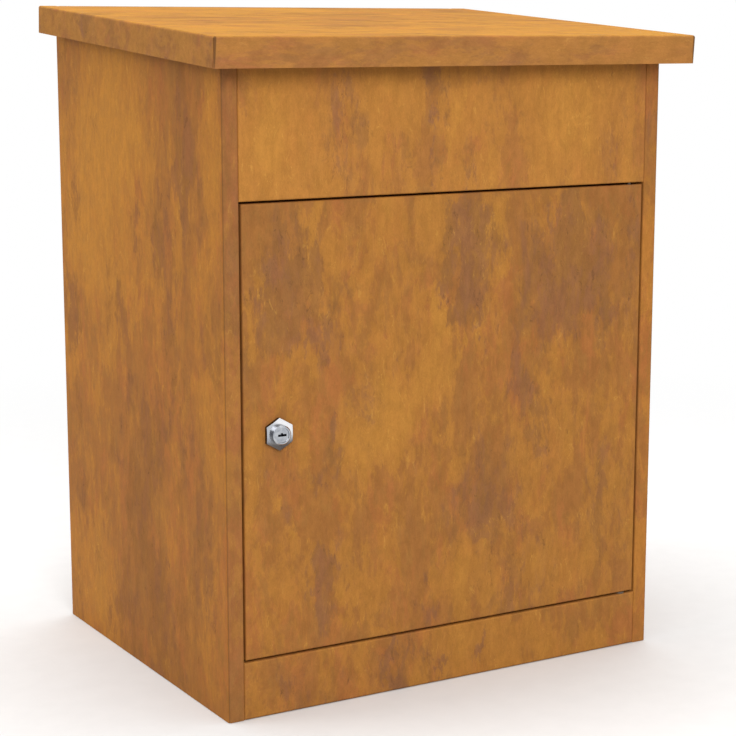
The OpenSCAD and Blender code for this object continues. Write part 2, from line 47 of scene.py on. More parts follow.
# Directions a face can look in, and the scaling that leaves only the distance from an upright line
FRONT = (0.0, -1.0, 0.0)
LEFT = (-1.0, 0.0, 0.0)
TOP = (0.0, 0.0, 1.0)
UPRIGHT = (1.0, 1.0, 0.0)


class Graph:
    """One material's node tree, with a short call for each kind of node used here."""

    def __init__(self, name):
        self.material = bpy.data.materials.new(name)
        self.material.use_nodes = True
        self.tree = self.material.node_tree
        self.tree.nodes.clear()
        self.shader = self.tree.nodes.new("ShaderNodeBsdfPrincipled")
        self.output = self.tree.nodes.new("ShaderNodeOutputMaterial")
        self.tree.links.new(self.shader.outputs["BSDF"], self.output.inputs["Surface"])
        place = self.tree.nodes.new("ShaderNodeTexCoord")
        self.position = place.outputs["Object"]
        self.facing = place.outputs["Normal"]

    def put(self, socket, value):
        """Sets a socket to a number or colour, or links another node's output to it."""
        if isinstance(value, bpy.types.NodeSocket):
            self.tree.links.new(value, socket)
        elif isinstance(value, (tuple, list)) and socket.type == "RGBA":
            socket.default_value = (*value[:3], 1.0)
        else:
            socket.default_value = value

    def math(self, operation, a, b=0.0):
        node = self.tree.nodes.new("ShaderNodeMath")
        node.operation = operation
        self.put(node.inputs[0], a)
        self.put(node.inputs[1], b)
        return node.outputs[0]

    def times(self, a, b):
        return self.math("MULTIPLY", a, b)

    def total(self, *values):
        result = values[0]
        for value in values[1:]:
            result = self.math("ADD", result, value)
        return result

    def vector(self, operation, a, b=(0.0, 0.0, 0.0)):
        """A vector, or a number for the operations that give one."""
        node = self.tree.nodes.new("ShaderNodeVectorMath")
        node.operation = operation
        self.put(node.inputs[0], a)
        self.put(node.inputs[1], b)
        return node.outputs["Value" if operation in ("LENGTH", "DOT_PRODUCT") else "Vector"]

    def stretched(self, place, scale, shift):
        """A place scaled along each axis and moved, for a noise to be read at."""
        return self.vector("ADD", self.vector("MULTIPLY", place, scale), shift)

    def distance(self, place, centre, across):
        """How far a place is from a centre, with each axis scaled by across."""
        away = self.vector("SUBTRACT", place, centre)
        return self.vector("LENGTH", self.vector("MULTIPLY", away, across))

    def noise(self, position, scale, detail=2.0, roughness=0.5, distortion=0.0, output="Fac"):
        node = self.tree.nodes.new("ShaderNodeTexNoise")
        self.put(node.inputs["Vector"], position)
        node.inputs["Scale"].default_value = scale
        node.inputs["Detail"].default_value = detail
        node.inputs["Roughness"].default_value = roughness
        node.inputs["Distortion"].default_value = distortion
        return node.outputs[output]

    def cells(self, position, scale):
        node = self.tree.nodes.new("ShaderNodeTexVoronoi")
        self.put(node.inputs["Vector"], position)
        node.inputs["Scale"].default_value = scale
        return node.outputs["Color"]

    def step(self, value, low, high, out_low=0.0, out_high=1.0):
        """Goes smoothly from out_low to out_high as value goes from low to high."""
        node = self.tree.nodes.new("ShaderNodeMapRange")
        node.interpolation_type = "SMOOTHSTEP"
        self.put(node.inputs["Value"], value)
        ends = {"From Min": low, "From Max": high, "To Min": out_low, "To Max": out_high}
        for name, number in ends.items():
            node.inputs[name].default_value = number
        return node.outputs["Result"]

    def sway(self, value, low, high, amount):
        """Goes smoothly from -amount to amount as value goes from low to high."""
        return self.step(value, low, high, -amount, amount)

    def mix(self, factor, a, b, blend="MIX"):
        node = self.tree.nodes.new("ShaderNodeMix")
        node.data_type = "RGBA"
        node.blend_type = blend
        self.put(node.inputs["Factor"], factor)
        self.put(node.inputs["A"], a)
        self.put(node.inputs["B"], b)
        return node.outputs["Result"]

    def multiplied(self, a, b):
        return self.mix(1.0, a, b, "MULTIPLY")

    def grey(self, value):
        """A number as a colour."""
        node = self.tree.nodes.new("ShaderNodeCombineColor")
        for socket in node.inputs:
            self.put(socket, value)
        return node.outputs[0]

    def bump(self, height, distance, strength):
        node = self.tree.nodes.new("ShaderNodeBump")
        node.inputs["Strength"].default_value = strength
        node.inputs["Distance"].default_value = distance
        self.put(node.inputs["Height"], height)
        return node.outputs["Normal"]

    def finish(self, **inputs):
        """Sets the shader's own inputs: NAME=value, with _ for a space."""
        for name, value in inputs.items():
            self.put(self.shader.inputs[name.replace("_", " ")], value)
        return self.material


# Rust colours, linear
BROWN = (0.350, 0.145, 0.040)
OCHRE = (0.470, 0.203, 0.040)
YELLOW = (0.520, 0.240, 0.045)
MAUVE = (0.240, 0.108, 0.056)
UMBER = (0.268, 0.122, 0.043)
RED = (0.425, 0.150, 0.046)
OLIVE = (0.300, 0.150, 0.042)
SPECK = (0.130, 0.062, 0.026)
FLECK = (0.640, 0.330, 0.070)

# What the rust's colour is multiplied by, for a whole piece or for its faces that look one way
BODY_TINT = (1.0, 1.0, 1.0)
SIDE_TINT = (1.02, 0.98, 0.86)
# Painted shade on the left side's front fold
FOLD_SHADE_TINT = (0.87, 0.93, 1.22)
# Painted light on the right side's front fold
RIGHT_FOLD_LIGHT_TINT = (1.06, 1.03, 0.98)
# Painted light on the upper panel
UPPER_LIGHT_TINT = (1.10, 1.10, 1.12)
# A painted sheen on the whole lid: a bluer tint
LID_SHEEN_TINT = (1.02, 1.05, 1.28)
# Painted light on the lid's top
LID_TOP_LIGHT_TINT = (1.06, 1.13, 0.83)
# Painted shade on the lid's left skirt
LID_SIDE_SHADE_TINT = (0.90, 0.93, 0.97)

# Where the finish is darker or brighter than its own blotches make it, in metres:
# (centre, half sizes, strength). A half size of 0 runs through the whole sheet.
DOOR_DARK = [
    ((-0.178, 0, 0.385), (0.012, 0, 0.030), 0.22), ((-0.145, 0, 0.380), (0.022, 0, 0.035), 0.16),
    ((-0.142, 0, 0.322), (0.018, 0, 0.018), 0.20), ((-0.178, 0, 0.330), (0.012, 0, 0.025), 0.12),
    ((-0.062, 0, 0.325), (0.014, 0, 0.026), 0.14), ((0.018, 0, 0.405), (0.016, 0, 0.050), 0.17),
    ((0.016, 0, 0.345), (0.014, 0, 0.022), 0.20), ((0.120, 0, 0.405), (0.012, 0, 0.032), 0.18),
    ((0.100, 0, 0.365), (0.080, 0, 0.050), 0.14), ((0.130, 0, 0.340), (0.045, 0, 0.040), 0.10),
    ((0.062, 0, 0.285), (0.016, 0, 0.040), 0.18), ((0.088, 0, 0.235), (0.022, 0, 0.026), 0.12),
    ((-0.130, 0, 0.112), (0.013, 0, 0.050), 0.22), ((-0.122, 0, 0.208), (0.010, 0, 0.035), 0.16),
    ((0.022, 0, 0.150), (0.024, 0, 0.034), 0.08), ((-0.024, 0, 0.078), (0.012, 0, 0.022), 0.14),
    ((-0.178, 0, 0.200), (0.016, 0, 0.040), 0.10), ((0.160, 0, 0.385), (0.030, 0, 0.040), 0.10),
]
DOOR_BRIGHT = [
    ((-0.140, 0, 0.425), (0.020, 0, 0.016), 0.16), ((-0.098, 0, 0.375), (0.022, 0, 0.050), 0.10),
    ((-0.006, 0, 0.320), (0.014, 0, 0.026), 0.24), ((0.040, 0, 0.405), (0.014, 0, 0.026), 0.20),
    ((-0.050, 0, 0.265), (0.050, 0, 0.026), 0.14), ((-0.170, 0, 0.165), (0.012, 0, 0.012), 0.20),
    ((0.118, 0, 0.200), (0.030, 0, 0.045), 0.12), ((0.178, 0, 0.165), (0.022, 0, 0.060), 0.16),
    ((0.080, 0, 0.095), (0.090, 0, 0.045), 0.14), ((-0.074, 0, 0.225), (0.022, 0, 0.026), 0.12),
    ((-0.203, 0, 0.345), (0.010, 0, 0.026), 0.16), ((0.105, 0, 0.268), (0.016, 0, 0.020), 0.12),
    ((0.160, 0, 0.310), (0.022, 0, 0.026), 0.10), ((-0.100, 0, 0.110), (0.008, 0, 0.026), 0.12),
]
SIDE_DARK = [
    ((0, -0.096, 0.465), (0, 0.018, 0.032), 0.24), ((0, -0.094, 0.430), (0, 0.012, 0.028), 0.16),
    ((0, -0.085, 0.545), (0, 0.010, 0.026), 0.14), ((0, -0.045, 0.432), (0, 0.010, 0.014), 0.16),
    ((0, -0.030, 0.385), (0, 0.014, 0.024), 0.20), ((0, -0.062, 0.295), (0, 0.010, 0.050), 0.16),
    ((0, 0.014, 0.415), (0, 0.010, 0.016), 0.14), ((0, 0.058, 0.350), (0, 0.016, 0.026), 0.12),
    ((0, 0.175, 0.318), (0, 0.014, 0.040), 0.22), ((0, 0.172, 0.225), (0, 0.012, 0.030), 0.12),
    ((0, -0.008, 0.215), (0, 0.030, 0.020), 0.22), ((0, 0.026, 0.160), (0, 0.012, 0.030), 0.16),
    ((0, 0.030, 0.255), (0, 0.012, 0.018), 0.14), ((0, -0.022, 0.100), (0, 0.012, 0.024), 0.26),
    ((0, -0.130, 0.110), (0, 0.016, 0.020), 0.14), ((0, -0.140, 0.330), (0, 0.030, 0.050), 0.10),
    ((0, -0.110, 0.200), (0, 0.060, 0.060), 0.10), ((0, -0.060, 0.070), (0, 0.060, 0.060), 0.08),
    ((0, 0.155, 0.415), (0, 0.018, 0.012), 0.10), ((0, 0.150, 0.130), (0, 0.030, 0.020), 0.08),
]
SIDE_BRIGHT = [
    ((0, 0.075, 0.510), (0, 0.075, 0.060), 0.22), ((0, 0.130, 0.450), (0, 0.070, 0.060), 0.16),
    ((0, 0.020, 0.480), (0, 0.030, 0.020), 0.14), ((0, -0.145, 0.480), (0, 0.014, 0.060), 0.12),
    ((0, 0.100, 0.370), (0, 0.060, 0.050), 0.12), ((0, 0.120, 0.070), (0, 0.060, 0.050), 0.18),
    ((0, -0.032, 0.290), (0, 0.010, 0.008), 0.26), ((0, 0.080, 0.290), (0, 0.030, 0.026), 0.12),
    ((0, 0.020, 0.340), (0, 0.022, 0.012), 0.14), ((0, 0.080, 0.180), (0, 0.030, 0.030), 0.08),
]
UPPER_DARK = [
    ((-0.020, 0, 0.545), (0.012, 0, 0.030), 0.22), ((-0.015, 0, 0.490), (0.006, 0, 0.014), 0.18),
    ((0.030, 0, 0.560), (0.016, 0, 0.012), 0.16), ((0.020, 0, 0.462), (0.014, 0, 0.016), 0.16),
    ((-0.110, 0, 0.525), (0.016, 0, 0.026), 0.10), ((-0.135, 0, 0.485), (0.010, 0, 0.020), 0.10),
    ((0.062, 0, 0.500), (0.020, 0, 0.026), 0.08), ((0.170, 0, 0.490), (0.026, 0, 0.030), 0.08),
]
UPPER_BRIGHT = [
    ((0.004, 0, 0.520), (0.012, 0, 0.022), 0.22), ((0.125, 0, 0.500), (0.026, 0, 0.040), 0.22),
    ((0.120, 0, 0.545), (0.045, 0, 0.020), 0.14), ((-0.185, 0, 0.500), (0.022, 0, 0.045), 0.14),
    ((-0.070, 0, 0.520), (0.030, 0, 0.040), 0.10), ((0.035, 0, 0.462), (0.010, 0, 0.012), 0.20),
]
LOWER_DARK = [
    ((-0.055, 0, 0.025), (0.020, 0, 0.020), 0.22), ((0.030, 0, 0.030), (0.014, 0, 0.020), 0.20),
    ((-0.130, 0, 0.024), (0.040, 0, 0.018), 0.10), ((-0.005, 0, 0.014), (0.016, 0, 0.010), 0.14),
]

# The marks: each adds MARK_DEPTH times its strength up to MARK_CORE half sizes out, and nothing by MARK_EDGE.
# RAGGED is how far their edges are pulled about, in metres for each unit of noise.
MARK_DEPTH = 0.90
MARK_CORE = 0.2
MARK_EDGE = 1.7
RAGGED = (0.11, 0.11, 0.22)
RAGGED_NOISE = {"scale": 42.0, "detail": 5.0, "roughness": 0.7}

# How each axis is scaled before a noise is read, for sheets with their grain along x or along z
PATCH_STRETCH = {"x": (0.40, 1.0, 1.0), "z": (1.0, 1.0, 0.40)}
HATCH_STRETCH = {"x": (0.13, 1.0, 1.0), "z": (1.0, 1.0, 0.13)}
GRAIN_STRETCH = {"x": (0.6, 1.0, 1.0), "z": (1.0, 1.0, 0.6)}
SEED_SHIFT = (1.73, 3.11, 2.37)

# The patches of each colour: (offset, scale, detail, roughness, distortion) of its noise
MAUVE_PATCHES = ((5.2, 1.3, 8.1), 25.0, 7.0, 0.72, 0.4)
OCHRE_PATCHES = ((2.9, 7.7, 4.4), 29.0, 7.0, 0.72, 0.4)
RED_PATCHES = ((7.1, 4.9, 1.8), 30.0, 7.0, 0.72, 0.4)
OLIVE_PATCHES = ((3.8, 9.2, 6.5), 62.0, 5.0, 0.75, 0.8)
TONE_PATCHES = ((8.3, 2.2, 5.7), 48.0, 5.0, 0.72, 0.4)
SPECK_PATCHES = ((9.4, 0.6, 3.3), 150.0, 4.0, 0.8, 1.4)
FLECK_PATCHES = ((1.4, 6.6, 9.3), 120.0, 4.0, 0.8, 1.6)

# How far a face has to look along an axis for its tint of painted light or shade to begin and be full
FACE_LIGHT_RISE = (0.5, 0.9)

# Where in its noise each colour begins and is full
OCHRE_RISE = (0.43, 0.62)
YELLOW_RISE = (0.58, 0.72)
MAUVE_RISE = (0.48, 0.67)
RED_RISE = (0.44, 0.64)
OLIVE_RISE = (0.50, 0.58)
TONE_RISE = (0.44, 0.56)
SPECK_RISE = (0.59, 0.66)
SPECK_GROUND = (0.46, 0.60)
FLECK_RISE = (0.59, 0.66)
FLECK_GROUND = (0.44, 0.58)

# How strongly each colour covers what is under it
RED_COVER = 0.65
OLIVE_COVER = 0.30
OCHRE_COVER = 0.70
YELLOW_COVER = 0.38
MAUVE_COVER = 0.62
SPECK_COVER = 0.42
FLECK_COVER = 0.32

# A broad cloud parts the sheet into dark and ochre areas: each field's (share of patches, share of cloud)
CLOUD_NOISE = {"scale": 5.0, "detail": 3.0, "roughness": 0.55}
MAUVE_SHARES = (0.68, 0.32)
OCHRE_SHARES = (0.70, 0.30)

# A blotch: the shares of its soft rise and of its crisp edge, which starts before the middle and ends past it
SOFT_SHARE = 0.65
CRISP_SHARE = 0.35
CRISP_START = 0.006
CRISP_END = 0.016

# Fine texture: a long hatch, a grain and a dust. Each sways the brightness round its level: (the ends of its
# noise's range, the amount).
HATCH_NOISE = {"scale": 300.0, "detail": 3.0, "roughness": 0.65}
GRAIN_NOISE = {"scale": 95.0, "detail": 5.0, "roughness": 0.75, "distortion": 0.3}
DUST_NOISE = {"scale": 900.0, "detail": 2.0, "roughness": 0.7}
BRIGHTNESS = 1.03
HATCH_SWAY = (0.25, 0.75, 0.035)
GRAIN_SWAY = (0.32, 0.68, 0.095)
DUST_SWAY = (0.3, 0.7, 0.045)

# The skin: how much each texture raises it, and the bump's depth in metres and strength
GRAIN_HEIGHT = 1.6
HATCH_HEIGHT = 0.5
DUST_HEIGHT = 0.35
SKIN_DEPTH = 0.0003
SKIN_STRENGTH = 0.55

# Roughness off and on the dark patches, what the grain and the specks do to it, and the level of the gloss
SHEET_ROUGHNESS = (0.52, 0.62)
GRAIN_ROUGHNESS = (0.3, 0.7, 0.06)
SPECK_ROUGHNESS = 0.12
SHEET_GLOSS = 0.03
LID_GLOSS = 0.002

# Dark upright lines at the front corners: (half width in metres, strength), full up to LINE_CORE of the half
# width. On the lid they are painted shade in its corner seams.
BODY_CORNER_LINE = (0.0016, 0.55)
LID_SEAM_SHADE = (0.0022, 0.8)
LINE_CORE = 0.6

# How much more ochre the upper panel and the lid have, and how much less mauve the upper panel has
UPPER_AMBER = 0.06
LID_AMBER = 0.06
UPPER_CALM = 0.05


def marks(g, position, places):
    """A field that rises at each listed place, to be added to a noise before it is cut into blotches."""
    field = 0.0
    for centre, half, strength in places:
        across = tuple(1.0 / h if h else 0.0 for h in half)
        away = g.distance(position, centre, across)
        field = g.math("ADD", field, g.step(away, MARK_CORE, MARK_EDGE, MARK_DEPTH * strength, 0.0))
    return field


def torn(g, place):
    """The position pulled about by a noise read at place, which frays the edges of the marks."""
    noise = g.noise(place, output="Color", **RAGGED_NOISE)
    pull = g.vector("MULTIPLY", g.vector("SUBTRACT", noise, (0.5, 0.5, 0.5)), RAGGED)
    return g.vector("ADD", g.position, pull)


def patches(g, place, layer):
    offset, scale, detail, roughness, distortion = layer
    return g.noise(g.vector("ADD", place, offset), scale, detail, roughness, distortion)


def blotch(g, field, start, end):
    """A soft rise with a crisp edge in the middle of it."""
    middle = (start + end) / 2
    soft = g.step(field, start, end, 0.0, SOFT_SHARE)
    crisp = g.step(field, middle - CRISP_START, middle + CRISP_END, 0.0, CRISP_SHARE)
    return g.math("ADD", soft, crisp)


def areas(g, place, dark, bright):
    """The fields of the dark and of the ochre areas: patches, the broad cloud and the placed marks."""
    frayed = torn(g, place)
    cloud = g.noise(place, **CLOUD_NOISE)
    mauve_field = g.total(g.times(patches(g, place, MAUVE_PATCHES), MAUVE_SHARES[0]),
                          g.times(cloud, MAUVE_SHARES[1]),
                          marks(g, frayed, dark))
    ochre_field = g.total(g.times(patches(g, place, OCHRE_PATCHES), OCHRE_SHARES[0]),
                          g.times(g.math("SUBTRACT", 1.0, cloud), OCHRE_SHARES[1]),
                          marks(g, frayed, bright))
    return mauve_field, ochre_field


def rust_colour(g, place, mauve_field, ochre_field, amber, calm):
    """The rust's colours laid over each other, with the masks of the dark patches and of the specks."""
    red = blotch(g, patches(g, place, RED_PATCHES), *RED_RISE)
    olive = g.step(patches(g, place, OLIVE_PATCHES), *OLIVE_RISE)
    ochre = blotch(g, ochre_field, OCHRE_RISE[0] - amber, OCHRE_RISE[1] - amber)
    yellow = g.step(ochre_field, *YELLOW_RISE)
    mauve = blotch(g, mauve_field, MAUVE_RISE[0] + calm, MAUVE_RISE[1] + calm)
    dark_tone = g.mix(g.step(patches(g, place, TONE_PATCHES), *TONE_RISE), MAUVE, UMBER)
    speck = g.times(g.step(patches(g, place, SPECK_PATCHES), *SPECK_RISE), g.step(mauve_field, *SPECK_GROUND))
    fleck = g.times(g.step(patches(g, place, FLECK_PATCHES), *FLECK_RISE), g.step(ochre_field, *FLECK_GROUND))

    colour = BROWN
    for mask, cover, coat in ((red, RED_COVER, RED), (olive, OLIVE_COVER, OLIVE), (ochre, OCHRE_COVER, OCHRE),
                              (yellow, YELLOW_COVER, YELLOW), (mauve, MAUVE_COVER, dark_tone),
                              (speck, SPECK_COVER, SPECK), (fleck, FLECK_COVER, FLECK)):
        colour = g.mix(g.times(mask, cover), colour, coat)
    return colour, mauve, speck


def tinted_with_face_light(g, colour, tint, painted_light_tints):
    """A colour under the piece's tint, and under a tint of painted light or shade on the faces that look
    along an axis.
    """
    colour = g.multiplied(colour, tint)
    for axis, light_tint in painted_light_tints:
        # How far the face looks along the axis, which sets how much painted light or shade it gets
        turned = g.step(g.vector("DOT_PRODUCT", g.facing, axis), *FACE_LIGHT_RISE)
        colour = g.mix(turned, colour, g.multiplied(colour, light_tint))
    return colour


def with_corner_lines(g, colour, corner_lines):
    """A colour with a dark upright line at each listed corner: (foot of the line, (half width, strength)). At
    the lid's corners the line is painted shade in the seam.
    """
    for corner, (half_width, strength) in corner_lines:
        away = g.distance(g.position, corner, UPRIGHT)
        line = g.step(away, LINE_CORE * half_width, half_width, strength, 0.0)
        colour = g.mix(line, colour, SPECK)
    return colour


def rust(name, seed, grain="z", tint=BODY_TINT, dark=(), bright=(), amber=0.0, calm=0.0, gloss=SHEET_GLOSS,
         painted_light_tints=(), corner_lines=()):
    """Blotchy rust finish: ragged patches and a fine hatch, both drawn out along one axis.

    dark and bright list the placed marks, amber widens the ochre and calm narrows the dark patches.
    painted_light_tints gives the faces that look along an axis a tint of painted light or shade.
    """
    g = Graph(name)
    shift = tuple(seed * n for n in SEED_SHIFT)
    place = g.stretched(g.position, PATCH_STRETCH[grain], shift)
    grain_place = g.stretched(g.position, GRAIN_STRETCH[grain], shift)
    fine_grain = g.noise(grain_place, **GRAIN_NOISE)
    hatch = g.noise(g.stretched(g.position, HATCH_STRETCH[grain], shift), **HATCH_NOISE)
    dust = g.noise(grain_place, **DUST_NOISE)

    mauve_field, ochre_field = areas(g, place, dark, bright)
    colour, mauve, speck = rust_colour(g, place, mauve_field, ochre_field, amber, calm)
    lit = g.total(BRIGHTNESS, g.sway(hatch, *HATCH_SWAY), g.sway(fine_grain, *GRAIN_SWAY),
                  g.sway(dust, *DUST_SWAY))
    colour = with_corner_lines(g, tinted_with_face_light(g, g.multiplied(colour, g.grey(lit)), tint, painted_light_tints), corner_lines)

    rough = g.total(g.step(mauve, 0.0, 1.0, *SHEET_ROUGHNESS), g.sway(fine_grain, *GRAIN_ROUGHNESS),
                    g.step(speck, 0.0, 1.0, 0.0, SPECK_ROUGHNESS))
    skin = g.total(g.times(fine_grain, GRAIN_HEIGHT), g.times(hatch, HATCH_HEIGHT),
                   g.times(dust, DUST_HEIGHT))
    normal = g.bump(skin, SKIN_DEPTH, SKIN_STRENGTH)
    return g.finish(Base_Color=colour, Roughness=rough, Metallic=0.0, Specular_IOR_Level=gloss, Normal=normal)


# Hardware colours, linear: pairs run from one tone to the other with the noise that mottles them
ZINC_TONES = ((0.40, 0.405, 0.41), (0.25, 0.255, 0.26))
ZINC_RUST = (0.27, 0.13, 0.06)
OILED_TONES = ((0.050, 0.034, 0.024), (0.130, 0.090, 0.062))
CHROME_TONES = ((0.50, 0.52, 0.55), (0.33, 0.35, 0.39))
NYLON_TONES = ((0.060, 0.038, 0.024), (0.120, 0.085, 0.058))
RUBBER_TONES = ((0.018, 0.018, 0.018), (0.052, 0.048, 0.044))

# Fine grain of the hardware: how each axis is scaled for brushed and for turned metal, and the noises' scales
BRUSHED_STRETCH = (0.05, 1.0, 1.0)
TURNED_STRETCH = (1.0, 1.0, 12.0)
BRUSHED_SCALE = 900.0
TURNED_SCALE = 700.0
PITS_SCALE = 2600.0
NYLON_GRAIN_SCALE = 1800.0
RUBBER_GRAIN_SCALE = 1500.0

# Depth in metres and strength of each bump
ZINC_BUMP = (0.00008, 0.5)
OILED_BUMP = (0.00004, 0.4)
CHROME_BUMP = (0.00004, 0.4)
NYLON_BUMP = (0.00005, 0.4)
RUBBER_BUMP = (0.00012, 0.5)

# Zinc: the spangle's cells and their share, and how much of a rust spot's colour and dullness shows
SPANGLE_SCALE = 240.0
SPANGLE_SHARE = 0.06
ZINC_RUST_COVER = 0.6
ZINC_RUST_ROUGHNESS = 0.3
ZINC_RUST_METAL = 0.2
BRUSHED_HEIGHT = 0.6
OILED_METAL = 0.6
PITS_HEIGHT = 0.5


def zinc():
    """Zinc-plated steel with a faint brushed grain, dull patches and small rust spots."""
    g = Graph("zinc_plate")
    drawn = g.vector("MULTIPLY", g.position, BRUSHED_STRETCH)
    brushed = g.noise(drawn, BRUSHED_SCALE, detail=3.0, roughness=0.6)
    dull = g.noise(g.position, scale=60.0, detail=6.0, roughness=0.6, distortion=0.4)
    spots = g.noise(g.position, scale=130.0, detail=6.0, roughness=0.7, distortion=0.8)
    rust_spot = g.step(spots, 0.55, 0.66)
    tone = g.mix(g.step(dull, 0.35, 0.65), *ZINC_TONES)
    tone = g.mix(SPANGLE_SHARE, tone, g.cells(g.position, SPANGLE_SCALE), "OVERLAY")
    tone = g.mix(g.times(rust_spot, ZINC_RUST_COVER), tone, ZINC_RUST)
    rough = g.total(g.step(dull, 0.3, 0.7, 0.30, 0.48), g.times(rust_spot, ZINC_RUST_ROUGHNESS))
    metal = g.step(rust_spot, 0.0, 1.0, 1.0, ZINC_RUST_METAL)
    normal = g.bump(g.total(g.times(brushed, BRUSHED_HEIGHT), dull), *ZINC_BUMP)
    return g.finish(Base_Color=tone, Roughness=rough, Metallic=metal, Normal=normal)


def oiled_steel():
    """Dark oiled steel of the door's pins, worn brighter in places."""
    g = Graph("oiled_steel")
    wear = g.noise(g.position, scale=260.0, detail=5.0, roughness=0.65)
    rings = g.vector("MULTIPLY", g.position, TURNED_STRETCH)
    turned = g.noise(rings, TURNED_SCALE, detail=3.0, roughness=0.6)
    tone = g.mix(g.step(wear, 0.40, 0.70), *OILED_TONES)
    rough = g.step(wear, 0.3, 0.7, 0.62, 0.42)
    normal = g.bump(turned, *OILED_BUMP)
    return g.finish(Base_Color=tone, Roughness=rough, Metallic=OILED_METAL, Normal=normal)


# The lock's painted shade and highlight, in metres from its axis: past its round nose, and past the flat face
# of its hexagon
NOSE_RADIUS = 0.0086
NOSE_EDGE = (-0.0006, 0.0003)
FACE_RADIUS = 0.0112
FACE_EDGE = 0.001
LOCK_PAINTED_SHADE = (0.055, 0.036, 0.024)
LOCK_PAINTED_HIGHLIGHT = (0.86, 0.86, 0.88)
# Where the painted highlight and the painted shade under the nose lie on the hexagon: (direction from the
# axis, start, full depth)
HIGHLIGHT_SIDE = ((0.55, 0.0, 0.83), 0.002, 0.009)
SHADE_SIDE = ((0.0, 0.0, -1.0), 0.001, 0.0095)
# How much painted shade shows under the nose, and on sideways faces inside the hexagon's flat face
SHADE_COVER = 0.85
CHAMFER_SHADE_COVER = 0.55


def lock_shading(g, tone, axis):
    """Painted shade on the hexagon's flanks and under the nose, and a painted highlight on its upper right.
    """
    across = g.vector("MULTIPLY", g.vector("SUBTRACT", g.position, axis), (1.0, 0.0, 1.0))
    radius = g.vector("LENGTH", across)
    ahead = g.vector("DOT_PRODUCT", g.facing, FRONT)
    face = g.step(ahead, 0.4, 0.8)
    outside = g.step(radius, NOSE_RADIUS + NOSE_EDGE[0], NOSE_RADIUS + NOSE_EDGE[1])

    def towards(side, start, full):
        return g.step(g.vector("DOT_PRODUCT", across, side), start, full)

    # A painted highlight on the face's upper right, then painted shade under the nose and on the sideways
    # faces
    tone = g.mix(g.times(towards(*HIGHLIGHT_SIDE), g.times(face, outside)), tone, LOCK_PAINTED_HIGHLIGHT)
    tone = g.mix(g.times(towards(*SHADE_SIDE), g.times(SHADE_COVER, outside)), tone, LOCK_PAINTED_SHADE)
    sideways = g.step(ahead, 0.3, 0.6, 1.0, 0.0)
    flank = g.times(sideways, g.step(radius, FACE_RADIUS - FACE_EDGE, FACE_RADIUS, CHAMFER_SHADE_COVER, 1.0))
    return g.mix(flank, tone, LOCK_PAINTED_SHADE)


def chrome(name, axis=None):
    """Polished chromed die-cast metal with handling smears; axis is a point on the lock's own axis, round
    which painted shade and a painted highlight are laid on.
    """
    g = Graph(name)
    smear = g.noise(g.position, scale=150.0, detail=5.0, roughness=0.6, distortion=0.8)
    pits = g.noise(g.position, PITS_SCALE, detail=3.0, roughness=0.6)
    tone = g.mix(g.step(smear, 0.35, 0.7), *CHROME_TONES)
    if axis is not None:
        tone = lock_shading(g, tone, axis)
    rough = g.step(smear, 0.3, 0.75, 0.10, 0.26)
    normal = g.bump(g.total(g.times(pits, PITS_HEIGHT), smear), *CHROME_BUMP)
    return g.finish(Base_Color=tone, Roughness=rough, Metallic=1.0, Normal=normal)


def nylon():
    """Brown moulded nylon, a little dusty."""
    g = Graph("nylon")
    age = g.noise(g.position, scale=90.0, detail=5.0, roughness=0.6)
    grain = g.noise(g.position, NYLON_GRAIN_SCALE, detail=3.0, roughness=0.6)
    tone = g.mix(g.step(age, 0.35, 0.7), *NYLON_TONES)
    rough = g.step(age, 0.3, 0.7, 0.38, 0.52)
    return g.finish(Base_Color=tone, Roughness=rough, Normal=g.bump(grain, *NYLON_BUMP))


def rubber():
    """Black moulded rubber, greyed where it is rubbed."""
    g = Graph("rubber")
    wear = g.noise(g.position, scale=220.0, detail=5.0, roughness=0.6)
    grain = g.noise(g.position, RUBBER_GRAIN_SCALE, detail=4.0, roughness=0.6)
    tone = g.mix(g.step(wear, 0.35, 0.7), *RUBBER_TONES)
    rough = g.step(wear, 0.3, 0.7, 0.62, 0.82)
    return g.finish(Base_Color=tone, Roughness=rough, Normal=g.bump(grain, *RUBBER_BUMP))


def paint(material, *names):
    """Gives CAD nodes a material, without touching their meshes."""
    for name in names:
        node = nodes[name]
        node.data.materials.clear()
        node.data.materials.append(material)


def upright_line(name, side):
    """Where the front corner of a CAD node stands: side is -1 for the left one and 1 for the right one."""
    low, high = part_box(name)
    return (low.x if side < 0 else high.x, low.y, 0.0)


